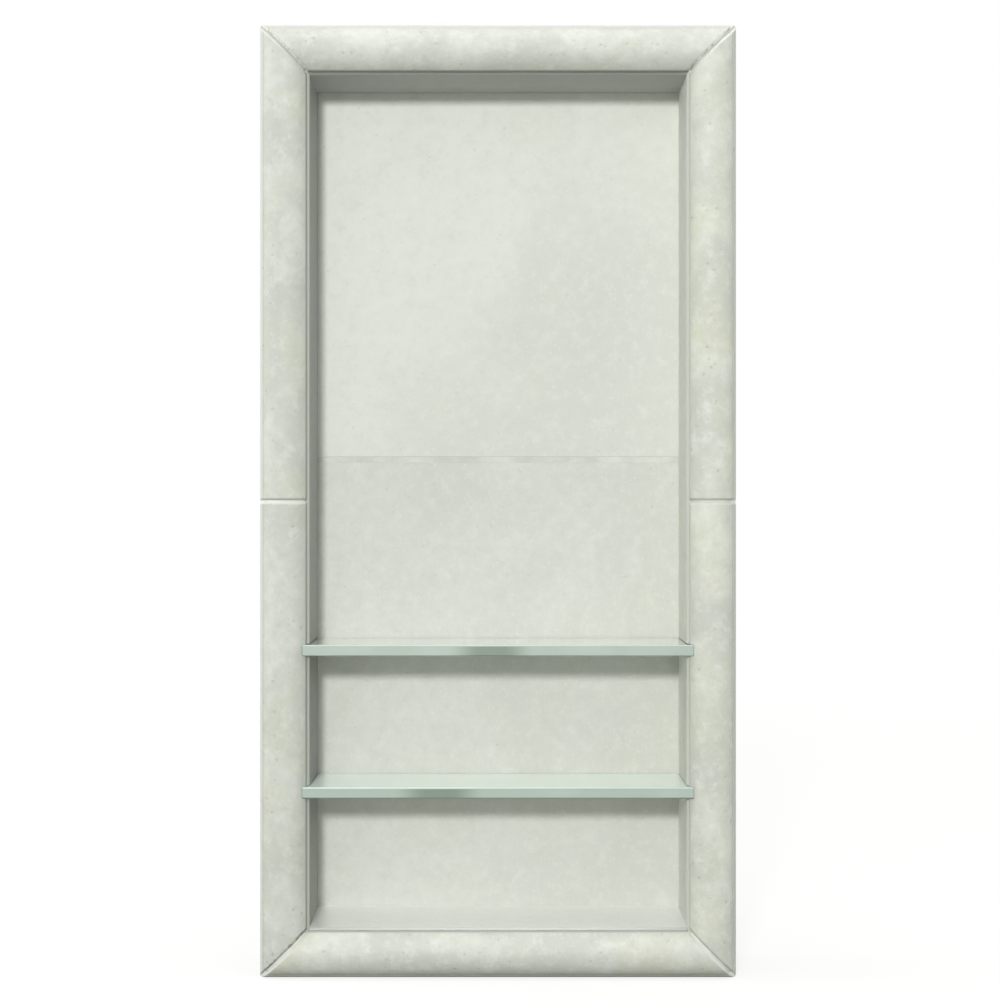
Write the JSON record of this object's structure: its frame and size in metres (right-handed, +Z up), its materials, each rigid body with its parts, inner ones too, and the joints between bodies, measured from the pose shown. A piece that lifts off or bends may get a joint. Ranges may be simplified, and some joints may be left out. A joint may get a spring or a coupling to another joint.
{
  "type": "shower niche insert",
  "caption": "Tall stone-lined shower niche insert with a mitred bullnose frame, a recessed back and glass shelves let into its sides, for holding bottles in a wall.",
  "frame": {"origin": "middle of the opening, on the face of the wall that the frame's flat back bears on", "axes": "+X to the right seen from the shower, +Y into the wall, +Z up"},
  "size_m": [0.406, 0.117, 0.812],
  "materials": {
    "trim_stone": "honed",
    "panel_stone": "honed",
    "joint_grout": "matte",
    "shelf_glass": "polished edges"
  },
  "bodies": {
    "root": {"top_trim": "trim_stone", "bottom_trim": "trim_stone", "left_trim_upper": "trim_stone", "left_trim_lower": "trim_stone", "right_trim_upper": "trim_stone", "right_trim_lower": "trim_stone", "mitre_grout_top_left": "joint_grout", "mitre_grout_top_right": "joint_grout", "mitre_grout_bottom_left": "joint_grout", "mitre_grout_bottom_right": "joint_grout", "joint_grout_left": "joint_grout", "joint_grout_right": "joint_grout", "back_seam_grout": "joint_grout", "left_return": "panel_stone", "right_return": "panel_stone", "top_return": "panel_stone", "sill": "panel_stone", "back_panel_upper": "panel_stone", "back_panel_lower": "panel_stone", "back_seam_strip": "panel_stone", "upper_shelf": "shelf_glass", "lower_shelf": "shelf_glass"}
  },
  "joints": []
}
